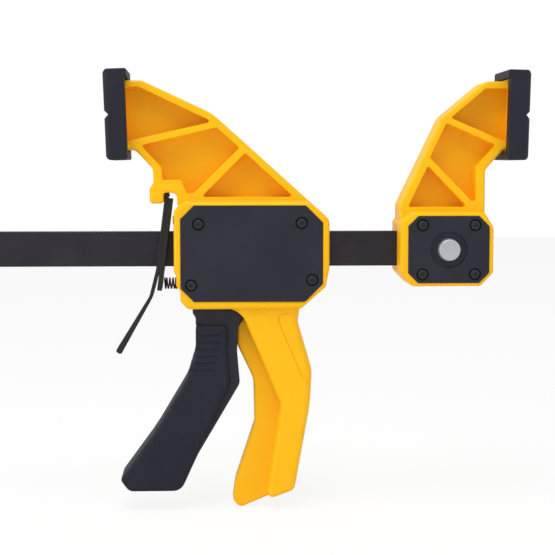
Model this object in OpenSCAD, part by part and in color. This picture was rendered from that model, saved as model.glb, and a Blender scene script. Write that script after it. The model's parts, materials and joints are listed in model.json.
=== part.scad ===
// One-handed quick release bar clamp, set up as a spreader.
// The bar lies along X, the jaws stand up along Z, and the handles hang below the bar.
// Lengths are millimetres, angles are degrees.

/* [Bar] */
// Length of the bar
bar_len = 370; // [330:5:620]
// Height of the bar's section
bar_h = 20; // [18:0.5:22]
// Thickness of the bar
bar_t = 8; // [6:0.5:9]
// Diameter of the locking hole near each end of the bar
lock_hole_d = 7; // [5.5:0.1:8]
// Distance from an end of the bar to its locking hole
lock_hole_end = 18; // [12:0.5:19]
// Diameter of the stop pin near the free end
stop_pin_d = 4; // [3:0.1:5]
// Length that the stop pin stands proud of each face of the bar
stop_pin_proud = 4; // [2:0.5:5]

/* [Jaws] */
// Throat depth, from the top of the bar to the top of the pads
throat_depth = 91.8; // [85:0.1:100]
// Distance between the two housings with the clamp closed up as drawn
housing_gap = 40.1; // [5:0.1:150]
// Width of the ribbed jaw arms, across the bar
arm_w = 24; // [20:0.5:26]
// Thickness of the web between the pockets of the arms
web_t = 5; // [3:0.5:7]
// Thickness of the outer rim round the pockets
rim_t = 4.1; // [3:0.1:5]
// Thickness of the ribs between the pockets
rib_t = 3.7; // [2.5:0.1:4.5]
// Radius on the outer edges of the jaw arms
arm_edge = 1.4; // [0.6:0.1:1.6]

/* [Pads] */
// Height of a clamping pad
pad_h = 50.8; // [48:0.1:54]
// Width of a clamping pad, across the bar
pad_w = 40; // [34:0.5:44]
// Thickness of a clamping pad
pad_t = 12; // [10:0.5:14]
// Wall of the pad round its end plate
pad_wall = 2.2; // [1.6:0.1:3]
// Thickness of the jaw's end plate inside the pad
end_plate_t = 3; // [2:0.1:4]
// Depth of the V groove across the face of a pad
groove_d = 2.4; // [1:0.1:3]
// Lean of the moving pad, so that it comes square under load
moving_lean = 2; // [0:0.1:4]
// Lean of the fixed pad
fixed_lean = 1.3; // [0:0.1:4]

/* [Covers and screws] */
// Width of the large cover, along the bar
body_cover_w = 80.5; // [78:0.5:84]
// Height of the large cover
body_cover_h = 54.5; // [52:0.5:57]
// Width of the fixed jaw's cover, along the bar
jaw_cover_w = 46.4; // [44:0.2:48]
// Height of the fixed jaw's cover
jaw_cover_h = 38; // [36:0.5:40]
// Thickness of the cover plates
cover_t = 2.5; // [2:0.1:3]
// Height that the covers stand proud of the housing
cover_proud = 0.6; // [0.2:0.1:1]
// Diameter of the cover screws' heads
screw_head_d = 5.4; // [4.5:0.1:6]
// Diameter of the cover screws' threads
screw_d = 3; // [2.5:0.1:3.5]
// Length of the cover screws under the head
screw_len = 4.8; // [4:0.1:4.8]

/* [Carriage] */
// Width of the carriage housing, across the bar
body_w = 36; // [34:0.5:40]
// Width of the cavity that holds the mechanism, across the bar
cavity_w = 27; // [26.5:0.1:29]
// Width of the fixed handle
handle_w = 30; // [29.5:0.5:34]
// Thickness of the blade along the front of the fixed handle
blade_w = 13; // [10:0.5:14]
// Width of the fixed jaw's housing, across the bar
jaw_body_w = 38; // [36:0.5:42]

/* [Trigger] */
// Angle that the trigger swings when it is squeezed fully
trigger_swing = 10; // [6:0.1:10.2]
// Width between the two cheeks of the trigger
cheek_gap = 16.8; // [16.6:0.1:17.5]
// Thickness of each cheek of the trigger
cheek_t = 3; // [2.5:0.1:3.2]
// Width of the rubber grip
grip_w = 29; // [27:0.5:30]
// Thickness of the grip's rubber at the front
grip_skin = 2.5; // [1.5:0.1:3]
// Diameter of the trigger's pivot pin
pivot_d = 5; // [4:0.1:6]

/* [Drive and brake] */
// Number of drive plates side by side
plate_count = 3; // [2:1:4]
// Thickness of one drive plate
plate_t = 3; // [2:0.1:3.2]
// Width of the drive plates and the brake plate, across the bar
plate_w = 16; // [14:0.5:16.4]
// Wire of the drive spring
drive_wire = 1.4; // [1:0.1:1.6]
// Tilt of the brake plate when it holds the bar
brake_tilt = 7.2; // [4:0.1:8]
// Thickness of the brake plate
brake_t = 2.7; // [2:0.1:3]
// Thickness of the release lever's steel sheet
lever_t = 2; // [1.5:0.1:2.2]
// Width of the release lever, across the bar
lever_w = 16; // [14:0.5:18]
// Wire of the brake spring
brake_wire = 0.9; // [0.6:0.1:1]

/* [Lock button] */
// Diameter of the lock button
button_d = 12.6; // [11:0.1:14]
// Height that the button stands proud of its cover
button_proud = 3; // [3:0.1:5]
// Travel of the lock button
lock_travel = 4.6; // [4.6:0.1:5]

/* [Hidden] */
$fn = 48;

// Colours
moulding_colour = [0.98, 0.74, 0.05];
plastic_colour = [0.17, 0.18, 0.21];
bar_colour = [0.2, 0.18, 0.18];
steel_colour = [0.62, 0.63, 0.66];
button_colour = [0.78, 0.78, 0.8];

// Clearances
slide_gap = 0.1;      // between the bar and the guides, which slide on it
turn_gap = 0.05;      // round a pin that something turns on
loose_gap = 0.2;      // between parts that move past each other
snug_gap = 0.05;      // round a part that is pushed into its seat

// Heights shared by both jaws, from the bar's centre line
pad_top = bar_h / 2 + throat_depth;
pad_mid = pad_top - pad_h / 2;
arm_top = pad_top - 6.3;
arm_foot = pad_top - 44.5;

// Fixed jaw, from the lock button's axis
jaw_half = jaw_cover_w / 2 + 2.8;      // to the housing's front side
jaw_back = jaw_half + 1.7;             // to its back side, where the bar enters
jaw_low = -jaw_cover_h / 2 - 2;
jaw_high = jaw_cover_h / 2 + 2.6;
fixed_reach = 33.6;                    // to the back of the fixed pad
fixed_peak = [-3, pad_mid - 1.1];      // corner between the two upper slopes
fixed_neck = 21.8;                     // the arm's straight front edge

// Carriage, from its own origin, which the trigger and the drive are set out from
cover_drop = 2;
cover_top = body_cover_h / 2 - cover_drop;
cover_low = -body_cover_h / 2 - cover_drop;
body_front = -44.15;
cover_x = body_front + 3.9 + body_cover_w / 2;
body_rear = cover_x + body_cover_w / 2 + 3.9;
body_low = cover_low - 4.4;
body_high = cover_top + 2.4;
body_step = 1.2;                       // the housing's front steps back below the bar
carriage_x = -jaw_back - housing_gap - body_rear;
moving_reach = 70.4;                   // to the back of the moving pad
arm_peak = [-22.2, pad_mid + 0.7];     // corner between the two upper slopes
arm_brow = [-moving_reach + 8.5, arm_top];

// Release lever and its hook
roll_r = 1.5;                          // the lever's rolled top end
roll_at = [body_front - 4.1, bar_h / 2 + 20.8];
hook_top = roll_at[1] + roll_r + turn_gap;
hook_lip = roll_at[0] - roll_r - turn_gap;

// Trigger's pivot and outline, from the middle of the body cover
pivot_at = [-18.5, bar_h / 2 + 7.5];
trigger_foot = -139.3;
grip_top = -43;                        // the rubber starts here
trigger_front = [[-33.8, -27, 0], [-33.8, -36.3, 2], [-32.1, -39.2, 2], [-32.1, -57.5, 20],
    [-37, -73.5, 14], [-55, -103.6, 90], [-75.9, -132.2, 3], [-70.8, trigger_foot, 5]];
trigger_back = [[-40.9, trigger_foot, 7], [-6.8, -77, 6], [-8.4, -58, 20], [-8, -45, 6],
    [-4, -39, 3], [-4, -30, 0]];

// Drive: the nose of the trigger pushes the pack of plates along the bar
nose_r = 2.5;
nose_at = [pivot_at[0] - 2, -bar_h / 2 - 4];
plates_x = nose_at[0] + nose_r + turn_gap;
plate_pitch = plate_t + turn_gap;
plates_end = plates_x + plate_count * plate_pitch - turn_gap;
plate_top = 14.5;
plate_low = -bar_h / 2 - 9.5;
seat_t = 1.5;
spring_from = plates_end + turn_gap + seat_t;
cavity_front = body_front + 6.7;
cavity_rear = body_rear - 17.15;
cavity_top = 20.5;
cavity_low = -24.5;

// Origin of the whole clamp: middle of its box, and the foot of the handle's blade
bar_end = lock_hole_end - bar_len;
fixed_pad_x = fixed_reach + pad_t * cos(fixed_lean) + (pad_h / 2 - 3) * sin(fixed_lean);
mid_x = (bar_end + fixed_pad_x) / 2;

// ---- Outlines: every corner is [x, z, radius], anticlockwise ----

function unit(v) = v / norm(v);

// The arc, or the single point, that stands for one corner
function corner(a, b, c) =
    let (p = [b[0], b[1]], u = unit([a[0], a[1]] - p), v = unit([c[0], c[1]] - p), r = b[2])
    (r == 0 || abs(u * v) > 0.9995) ? [p] :
    let (half = acos(u * v) / 2, mid = p + unit(u + v) * r / sin(half),
         s = p + u * r / tan(half) - mid, e = p + v * r / tan(half) - mid,
         from = atan2(s[1], s[0]), turn = (atan2(e[1], e[0]) - from + 540) % 360 - 180,
         steps = max(1, ceil(abs(turn) / 16)))
    [for (i = [0 : steps]) mid + r * [cos(from + turn * i / steps), sin(from + turn * i / steps)]];

function rounded(pts) = let (n = len(pts))
    [for (i = [0 : n - 1]) each corner(pts[(i + n - 1) % n], pts[i], pts[(i + 1) % n])];

// A bent strip of sheet: its rounded path, and one side of it at distance t
function bent(path) = [for (i = [0 : len(path) - 1])
    each (i == 0 || i == len(path) - 1) ? [[path[i][0], path[i][1]]]
        : corner(path[i - 1], path[i], path[i + 1])];
function strip_side(path, t) = let (n = len(path)) [for (i = [0 : n - 1])
    let (u = unit(path[min(i + 1, n - 1)] - path[max(i - 1, 0)])) path[i] + t * [-u[1], u[0]]];

// The corner where two edges meet once each has moved inwards by its own distance
function moved_corner(a, b, c, d1, d2) =
    let (u = unit(b - a), v = unit(c - b), p = b + d1 * [-u[1], u[0]],
         q = b + d2 * [-v[1], v[0]], k = u[0] * v[1] - u[1] * v[0])
    abs(k) < 0.002 ? p : p + u * ((q[0] - p[0]) * v[1] - (q[1] - p[1]) * v[0]) / k;

// Moves edge i, which runs from corner i to the next one, inwards by d[i]
function inner(pts, d) = let (n = len(pts)) [for (i = [0 : n - 1])
    moved_corner(pts[(i + n - 1) % n], pts[i], pts[(i + 1) % n], d[(i + n - 1) % n], d[i])];
function inset(pts, d) = inner(pts, [for (p = pts) d]);

// Where the line through a and b meets the line through c and d
function crossing(a, b, c, d) =
    let (u = b - a, v = d - c, k = u[0] * v[1] - u[1] * v[0])
    a + u * ((c[0] - a[0]) * v[1] - (c[1] - a[1]) * v[0]) / k;

function soft(pts, r) = rounded([for (p = pts) [p[0], p[1], r]]);

// A plate with four cut corners, c1 at its front side and c2 at its rear side
function cut_plate(w, h, c1, c2) = [[-w / 2 + c1, -h / 2], [w / 2 - c2, -h / 2],
    [w / 2, -h / 2 + c2], [w / 2, h / 2 - c2], [w / 2 - c2, h / 2], [-w / 2 + c1, h / 2],
    [-w / 2, h / 2 - c1], [-w / 2, -h / 2 + c1]];

// A turn about the trigger's pivot, in the plane of the clamp
function swung(p, a) = let (d = [p[0], p[1]] - pivot_at)
    pivot_at + [d[0] * cos(a) - d[1] * sin(a), d[0] * sin(a) + d[1] * cos(a)];

// The triangles that fill an anticlockwise outline, cut off one by one as its ears. "ids" are
// the corners that are left, and the search for the next ear goes on where the last one was.
function turn(a, b, c) = (b[0] - a[0]) * (c[1] - a[1]) - (b[1] - a[1]) * (c[0] - a[0]);
function holds(a, b, c, p) = turn(a, b, p) > -1e-6 && turn(b, c, p) > -1e-6 && turn(c, a, p) > -1e-6;
function is_ear(pts, ids, i) = let (n = len(ids), a = pts[ids[(i + n - 1) % n]], b = pts[ids[i % n]],
    c = pts[ids[(i + 1) % n]])
    turn(a, b, c) > 0.01 * norm(c - a)
        && len([for (k = [2 : n - 2]) if (holds(a, b, c, pts[ids[(i + k) % n]])) k]) == 0;
function next_ear(pts, ids, i, tries) =
    (tries == 0 || is_ear(pts, ids, i)) ? i % len(ids) : next_ear(pts, ids, i + 1, tries - 1);
function ears(pts, ids, start, done) = let (n = len(ids)) n == 3 ? concat(done, [ids]) :
    let (i = next_ear(pts, ids, start, n), triangle = [ids[(i + n - 1) % n], ids[i], ids[(i + 1) % n]])
    ears(pts, [for (k = [0 : n - 1]) if (k != i) ids[k]], i + 1, concat(done, [triangle]));

// ---- Solids that repeat ----

module place() translate([-mid_x, 0, -blade_foot]) children();
module at_carriage() place() translate([carriage_x, 0, 0]) children();

// A side profile, w thick across the bar
module side(w) rotate([90, 0, 0]) linear_extrude(w, center = true) children();
module side_from(y1, y2) translate([0, (y1 + y2) / 2, 0]) side(abs(y2 - y1)) children();

// A moulded plate: an outline w thick whose two edges are rounded, e in and deep along
module moulding(pts, w, e, deep) {
    n = len(pts);
    turns = [0, 45, 90];
    rings = concat([for (a = turns) [e * (1 - sin(a)), -w / 2 + deep * (1 - cos(a))]],
        [for (a = [90, 45, 0]) [e * (1 - sin(a)), w / 2 - deep * (1 - cos(a))]]);
    points = [for (r = rings) each [for (p = inset(pts, r[0])) [p[0], p[1], r[1]]]];
    last = (len(rings) - 1) * n;
    flat = ears(inset(pts, e), [for (i = [0 : n - 1]) i], 0, []);
    rotate([90, 0, 0]) polyhedron(points, concat(flat,
        [for (k = [0 : len(rings) - 2]) each [for (i = [0 : n - 1])
            [k * n + i, (k + 1) * n + i, (k + 1) * n + (i + 1) % n, k * n + (i + 1) % n]]],
        [for (t = flat) [last + t[2], last + t[1], last + t[0]]]));
}

// The pockets on both sides of an arm, down to its web
module pockets(cells) {
    for (s = [-1, 1])
        for (c = cells)
            side_from(s * web_t / 2, s * (arm_w / 2 + 1)) polygon(soft(c, 1));
}

// A round bar along X, Y or Z
module along_y(d, y1, y2) translate([0, (y1 + y2) / 2, 0]) rotate([90, 0, 0])
    cylinder(d = d, h = abs(y2 - y1), center = true);
module along_x(d, x1, x2) translate([x1, 0, 0]) rotate([0, 90, 0]) cylinder(d = d, h = x2 - x1);

// A coil spring along +Z with closed, flat-lying ends: rings of points on a helix
module spring(mean_r, wire, length, turns) {
    sides = 6;
    per_turn = 16;
    n = turns * per_turn;
    rise = length - wire;
    points = [for (i = [0 : n]) let (a = 360 * i / per_turn)
        each [for (j = [0 : sides - 1]) let (b = 360 * j / sides, r = mean_r + wire / 2 * cos(b))
            [r * cos(a), r * sin(a), wire / 2 + rise * i / n + wire / 2 * sin(b)]]];
    polyhedron(points, concat([[for (j = [0 : sides - 1]) j]],
        [for (i = [0 : n - 1]) each [for (j = [0 : sides - 1])
            [i * sides + j, (i + 1) * sides + j, (i + 1) * sides + (j + 1) % sides,
             i * sides + (j + 1) % sides]]],
        [[for (j = [sides - 1 : -1 : 0]) n * sides + j]]));
}

// ---- Bar ----

module bar_section(gap) square([bar_h + 2 * gap, bar_t + 2 * gap], center = true);
module bar_along(x1, x2, gap) translate([x1, 0, 0]) rotate([0, 90, 0])
    linear_extrude(x2 - x1) bar_section(gap);
stop_pin_x = bar_end + lock_hole_end + jaw_back + stop_pin_d / 2 + 2;

module slide_bar() color(bar_colour) place() difference() {
    bar_along(bar_end, lock_hole_end, 0);
    along_y(lock_hole_d, -bar_t, bar_t);
    translate([bar_end + lock_hole_end, 0, 0]) along_y(lock_hole_d, -bar_t, bar_t);
    translate([stop_pin_x, 0, 0]) along_y(stop_pin_d, -bar_t, bar_t);
}

module bar_stop_pin() color(steel_colour) place() translate([stop_pin_x, 0, 0])
    along_y(stop_pin_d, -bar_t / 2 - stop_pin_proud, bar_t / 2 + stop_pin_proud);

// ---- Pads and the end plates that carry them ----

module at_pad(reach, lean) translate([reach, 0, pad_mid]) rotate([0, lean, 0]) children();

end_plate_h = pad_h - 2 * pad_wall - 2 * snug_gap;
end_plate_w = pad_w - 2 * pad_wall - 2 * snug_gap;
plate_inset = 1.2;     // the pad's back lips, which hold the end plate, are this thick
pad_mouth_h = pad_h - 9.6;
pad_mouth_w = arm_w + 2;
pad_clip = 1.3;        // the top lip stands this far behind the others

module end_plate() translate([plate_inset, -end_plate_w / 2, -end_plate_h / 2])
    cube([end_plate_t, end_plate_w, end_plate_h]);

// A pad with its back at x = 0 and its face at x = pad_t. The arm enters through the mouth in
// its back, and the rubber is stretched over the end plate, which the lips round the mouth hold.
module pad_cap() {
    profile = [[0, -pad_h / 2, 1], [pad_t, -pad_h / 2, 3], [pad_t, -groove_d, 0.5],
        [pad_t - groove_d, 0, 0.3], [pad_t, groove_d, 0.5], [pad_t, pad_h / 2, 3],
        [-pad_clip, pad_h / 2, 1], [-pad_clip, pad_mouth_h / 2, 0.6], [0, pad_mouth_h / 2, 0]];
    plan = [[-pad_clip, -pad_w / 2, 1], [pad_t, -pad_w / 2, 3], [pad_t, pad_w / 2, 3],
        [-pad_clip, pad_w / 2, 1]];
    difference() {
        intersection() {
            side(pad_w + 2) polygon(rounded(profile));
            linear_extrude(pad_h + 2, center = true) polygon(rounded(plan));
        }
        translate([plate_inset - snug_gap, -pad_w / 2 + pad_wall, -pad_h / 2 + pad_wall])
            cube([end_plate_t + snug_gap, pad_w - 2 * pad_wall, pad_h - 2 * pad_wall]);
        translate([-pad_clip - 1, -pad_mouth_w / 2, -pad_mouth_h / 2])
            cube([pad_clip + 1 + plate_inset, pad_mouth_w, pad_mouth_h]);
    }
}

module fixed_jaw_pad() color(plastic_colour) place() at_pad(fixed_reach, fixed_lean) pad_cap();

module moving_jaw_pad() color(plastic_colour) at_carriage()
    at_pad(-moving_reach, -moving_lean) mirror([1, 0, 0]) pad_cap();

// ---- Covers and screws: each plate is drawn with its outer face at y = -w / 2 - proud ----

jaw_screws = [for (x = [-1, 1]) for (z = [-1, 1])
    [x * (jaw_cover_w / 2 - 8.2), z * (jaw_cover_h / 2 - 5)]];
body_screws = [[body_front + 13.9, cover_top - 10.6], [body_rear - 16, cover_top - 10],
    [body_front + 9.8, cover_low + 9.3], [body_rear - 9.9, cover_low + 12.2]];
body_cover = [for (p = cut_plate(body_cover_w, body_cover_h, 7.5, 10)) p + [cover_x, 0]];
jaw_cover = cut_plate(jaw_cover_w, jaw_cover_h, 5.8, 5.8);
head_h = 1.5;
head_sink = 1.7;
well_d = screw_head_d + 1.6;

module cover(outline, drop, w, screws) {
    outer = w / 2 + cover_proud;
    difference() {
        translate([0, 0, -drop]) side_from(-outer, -outer + cover_t) polygon(soft(outline, 1));
        for (s = screws)
            translate([s[0], 0, s[1]]) {
                along_y(well_d, -outer - 1, -outer + head_sink);
                along_y(screw_d + 2 * turn_gap, -outer - 1, -outer + cover_t + 1);
            }
    }
}

module cover_seat(outline, drop, w) for (m = [0, 1]) mirror([0, m, 0])
    translate([0, 0, -drop]) side_from(-w / 2 - 1, -w / 2 - cover_proud + cover_t)
        polygon(soft(inset(outline, -snug_gap), 1));

module screw_set(w, screws) {
    outer = w / 2 + cover_proud;
    seat = -outer + head_sink;
    for (s = screws)
        translate([s[0], 0, s[1]]) difference() {
            union() {
                along_y(screw_head_d, seat - head_h, seat);
                along_y(screw_d, seat - 0.5, seat + screw_len);
            }
            along_y(screw_d * 0.8, seat - head_h - 1, seat - 0.5, $fn = 6);
        }
}

module screw_holes(w, screws) for (m = [0, 1]) mirror([0, m, 0])
    for (s = screws)
        translate([s[0], 0, s[1]]) along_y(screw_d, -w / 2 - 1, -w / 2 - cover_proud + head_sink
            + screw_len);

module body_cover_front() color(plastic_colour) at_carriage()
    cover(body_cover, cover_drop, body_w, body_screws);
module body_cover_back() color(plastic_colour) at_carriage() mirror([0, 1, 0])
    cover(body_cover, cover_drop, body_w, body_screws);
module body_cover_screws_front() color(plastic_colour) at_carriage() screw_set(body_w, body_screws);
module body_cover_screws_back() color(plastic_colour) at_carriage() mirror([0, 1, 0])
    screw_set(body_w, body_screws);

// The front cover of the fixed jaw is dished round the lock button
module fixed_jaw_cover_front() color(plastic_colour) place() difference() {
    cover(jaw_cover, 0, jaw_body_w, jaw_screws);
    along_y(button_d + 8, -jaw_body_w / 2 - cover_proud - 1, -jaw_body_w / 2 - cover_proud + 1);
    along_y(button_d + 2 * loose_gap, -jaw_body_w, 0);
}
module fixed_jaw_cover_back() color(plastic_colour) place() mirror([0, 1, 0])
    cover(jaw_cover, 0, jaw_body_w, jaw_screws);
module fixed_jaw_screws_front() color(plastic_colour) place() screw_set(jaw_body_w, jaw_screws);
module fixed_jaw_screws_back() color(plastic_colour) place() mirror([0, 1, 0])
    screw_set(jaw_body_w, jaw_screws);

// ---- Fixed jaw ----

fixed_foot = [fixed_neck + 10.7, arm_foot];    // corner under the fixed pad
fixed_knee = [fixed_neck, arm_foot - 12];      // where the arm's front edge turns to the pad
fixed_brow = [fixed_neck - 0.7, arm_top];
fixed_heel = [-jaw_back + 0.7, jaw_high + 3.8]; // where the back slope meets the housing
fixed_arm = [[fixed_heel[0], jaw_low + 8, 0], [fixed_neck, jaw_low + 8, 0],
    [fixed_knee[0], fixed_knee[1], 3.5], [fixed_foot[0], fixed_foot[1], 3],
    [fixed_reach + 2, arm_foot, 0], [fixed_reach + 2, arm_top, 0],
    [fixed_brow[0], fixed_brow[1], 9], [fixed_peak[0], fixed_peak[1], 6],
    [fixed_heel[0], fixed_heel[1], 6]];

// Centre lines of the two ribs, and the pockets that they leave
fixed_rib_1 = [[1.5, fixed_peak[1] - 2.5], [fixed_foot[0] - 3, arm_foot + 3.5]];
fixed_rib_2 = [[-12.2, jaw_high + 30], [15.4, jaw_high + 1.9]];
fixed_slope = [[fixed_peak[0], fixed_peak[1]], fixed_brow];
fixed_back = [[fixed_peak[0], fixed_peak[1]], fixed_heel];
jaw_roof = [[0, jaw_high - 1.6], [1, jaw_high - 1.6]];
function meet(p, q) = crossing(p[0], p[1], q[0], q[1]);
fixed_cells = [
    inner([meet(fixed_rib_1, fixed_slope), meet(fixed_rib_1, [[fixed_reach + 4, 0], [fixed_reach + 4, 1]]),
        [fixed_reach + 4, arm_top], fixed_brow], [rib_t / 2, 0, rim_t, rim_t - 0.7]),
    inner([meet(fixed_back, fixed_rib_1), meet(fixed_back, fixed_rib_2), meet(fixed_rib_2, jaw_roof),
        [fixed_neck, jaw_roof[0][1]], fixed_knee, meet(fixed_rib_1, [fixed_knee, fixed_foot])],
        [rim_t - 0.6, rib_t / 2, rim_t + 3, rim_t + 1.3, rim_t + 0.8, rib_t / 2]),
    inner([meet(fixed_back, fixed_rib_2), meet(fixed_back, jaw_roof), meet(fixed_rib_2, jaw_roof)],
        [rim_t + 0.5, rim_t, rib_t / 2 + 0.3])];

jaw_housing = [[-jaw_back + 7.2, jaw_low, 3], [jaw_half - 7.2, jaw_low, 3],
    [jaw_half, jaw_low + 7.8, 3], [jaw_half, jaw_high - 9, 4], [jaw_half - 5.6, jaw_high, 3],
    [-jaw_back + 7, jaw_high, 4], [-jaw_back, jaw_high - 6, 3], [-jaw_back, jaw_low + 7.8, 3]];

// The lock works inside a chamber that is open to both covers
yoke_w = 15;
yoke_t = 2.4;
yoke_gap = 0.6;                                 // between the yoke's legs and the bar
yoke_half = bar_h / 2 + yoke_gap + yoke_t;
cover_inner = jaw_body_w / 2 + cover_proud - cover_t;
flange_t = 1.6;
flange_d = button_d + 3;
chamber = [yoke_w + 2 * loose_gap, 2 * yoke_half + 2 * loose_gap];

module fixed_jaw_frame() color(moulding_colour) place() difference() {
    union() {
        difference() {
            moulding(rounded(fixed_arm), arm_w, arm_edge, arm_edge);
            pockets(fixed_cells);
        }
        moulding(rounded(jaw_housing), jaw_body_w, 2, 2.4);
        at_pad(fixed_reach, fixed_lean) end_plate();
    }
    bar_along(-jaw_back - 1, lock_hole_end, snug_gap);
    side(jaw_body_w + 2) square([chamber[0], chamber[1]], center = true);
    along_y(flange_d + 2 * loose_gap, -jaw_body_w, -bar_t / 2 - 3);
    cover_seat(jaw_cover, 0, jaw_body_w);
    screw_holes(jaw_body_w, jaw_screws);
}

// ---- Lock button, and the yoke that carries its tooth round the bar ----

yoke_front = -bar_t / 2 - lock_travel - yoke_t - 0.6;
yoke_back = bar_t / 2 + 1;
tooth_reach = bar_t / 2;                        // the tooth fills half of the hole
button_face = -jaw_body_w / 2 - cover_proud - button_proud;

module lock_button() color(button_colour) place() rotate([90, 0, 0]) rotate_extrude()
    polygon([[0, -yoke_front], [flange_d / 2 - 3, -yoke_front], [flange_d / 2 - 3, cover_inner - flange_t],
        [flange_d / 2, cover_inner - flange_t], [flange_d / 2, cover_inner - turn_gap],
        [button_d / 2, cover_inner - turn_gap], [button_d / 2, -button_face - 0.8],
        [button_d / 2 - 0.8, -button_face], [0, -button_face]]);

module lock_yoke() color(steel_colour) place() {
    difference() {
        side_from(yoke_front, yoke_back + yoke_t)
            square([yoke_w, 2 * yoke_half], center = true);
        side_from(yoke_front + yoke_t, yoke_back)
            square([yoke_w + 2, 2 * yoke_half - 2 * yoke_t], center = true);
    }
    along_y(lock_hole_d - 2 * slide_gap, yoke_back - tooth_reach - 1, yoke_back + yoke_t);
}

module lock_spring() color(steel_colour) place() translate([0, yoke_back + yoke_t, 0])
    rotate([-90, 0, 0]) spring(4.2, 0.8, cover_inner - yoke_back - yoke_t, 4);

// ---- Carriage: moving jaw, housing, fixed handle and blade in one moulding ----

arm_elbow = [-moving_reach + 4.8, arm_foot - 0.9];
arm_inner = [arm_elbow[0] + 9.8, arm_elbow[1] - 10.5];
hook_back = hook_lip - 8;                        // outer side of the hook
hook_side = body_front + 1.9;                    // slot wall at the housing
hook_foot = roll_at[1] - 4.6;
moving_arm = [[body_rear, -5, 0], [body_rear, 17.5, 6], [arm_peak[0], arm_peak[1], 30],
    [arm_brow[0], arm_brow[1], 5], [-moving_reach - 2, arm_top, 0],
    [-moving_reach - 2, arm_elbow[1], 0], [arm_elbow[0], arm_elbow[1], 4],
    [arm_inner[0], arm_inner[1], 4], [arm_inner[0] + 0.2, hook_top + 5.6, 3],
    [hook_back, hook_top + 2.4, 2], [hook_back, hook_foot, 2.2], [hook_lip, hook_foot, 2],
    [hook_lip, hook_top, roll_r + turn_gap], [hook_side, hook_top, 3], [hook_side, hook_foot, 2],
    [hook_side + 2, hook_foot - 5, 0], [hook_side + 2, -5, 0]];

moving_rib_1 = [[-61.5, arm_foot + 3.9], [-22.5, arm_foot + 13.1]];
moving_rib_2 = [[-30.2, hook_top - 1.1], [-5.5, hook_top + 23.6]];
slope = [[body_rear, 17.5], arm_peak];
brow = [arm_peak, arm_brow];
body_roof = [[0, body_high - 1.9], [1, body_high - 1.9]];
moving_cells = [
    inner([[-moving_reach - 4, arm_foot + 1.3], meet(moving_rib_1, brow), arm_brow,
        [-moving_reach - 4, arm_top]], [rib_t / 2, rim_t, rim_t - 0.4, 0]),
    inner([meet(moving_rib_1, [arm_elbow, arm_inner]), arm_inner, [arm_inner[0] + 0.6, hook_top],
        [hook_side - 0.9, hook_top], [hook_side + 1.9, body_roof[0][1]], meet(moving_rib_2, body_roof),
        meet(moving_rib_2, slope), meet(moving_rib_1, slope)],
        [rim_t, rim_t + 0.9, rim_t + 3, rim_t + 1.7, rim_t + 2, rib_t / 2 + 0.3, rim_t, rib_t / 2]),
    inner([meet(moving_rib_2, body_roof), meet(body_roof, slope), meet(moving_rib_2, slope)],
        [rim_t, rim_t, rib_t / 2 + 0.3])];

body_housing = [[body_front + 7.6, body_low, 4], [body_rear - 16.15, body_low, 3], [body_rear - 2, body_low + 12.4, 3],
    [body_rear, body_low + 23, 4], [body_rear, cover_top - 8, 5], [body_rear - 11.5, body_high, 4],
    [body_front + 6, body_high, 4], [body_front, body_high - 5.6, 3],
    [body_front, body_low + 21.3, 0], [body_front + body_step, body_low + 19.3, 0],
    [body_front + body_step, body_low + 13.6, 0], [body_front + 3.5, body_low + 10.2, 2.4],
    [body_front + 3.5, body_low + 4.6, 3]];

handle = [[-16.5, body_low + 8, 0], [-16.5, body_low - 0.4, 0], [-7, body_low - 0.4, 12],
    [16, -88.4, 7], [16, -93, 7], [8.2, -145.4, 3.2], [24.6, -139.4, 4],
    [33.4, -90, 60], [34.6, -69.5, 16], [26.3, -41, 8], [27.6, body_low, 0], [26, body_low + 8, 0]];
blade = [[14, -36, 0], [-2, -36, 0], [-8.4, -42, 3], [-8.4, -54.9, 2], [1.3, -75.4, 14],
    [1.8, -100.8, 5], [-9.4, -134.5, 14], [-11, -146.2, 3.4], [-6.9, -150.9, 3.4],
    [12, -143, 0], [20, -130, 0], [26, -60, 0]];

blade_foot = min([for (p = rounded(blade)) p[1]]);

// Space that the trigger's cheeks sweep inside the housing and the top of the handle
sweep_gap = 0.8;
neck_back = [for (i = [1 : 5]) trigger_back[i]];
sweep = concat([[-34.6, body_low - 4], [-31, -45]],
    [for (p = neck_back) swung(p, trigger_swing) + [sweep_gap, 0]], [[9, cavity_low + 1],
    [-34.6, cavity_low + 1]]);

// Seats of the two guides that the bar slides in
guide_w = bar_t + 8;
front_guide_low = -bar_h / 2 - 2;
front_guide_top = bar_h / 2 + 9;
guide_rear_h = bar_h + 7;

// Cavity for the drive, with cut corners that leave bosses for the cover screws
cavity = [[-26, cavity_low], [cavity_rear, cavity_low], [cavity_rear, 9],
    [cavity_rear - 9.5, cavity_top], [-20.5, cavity_top], [cavity_front, 3], [cavity_front, front_guide_low]];
window = inset(cavity, 3.5);

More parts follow.
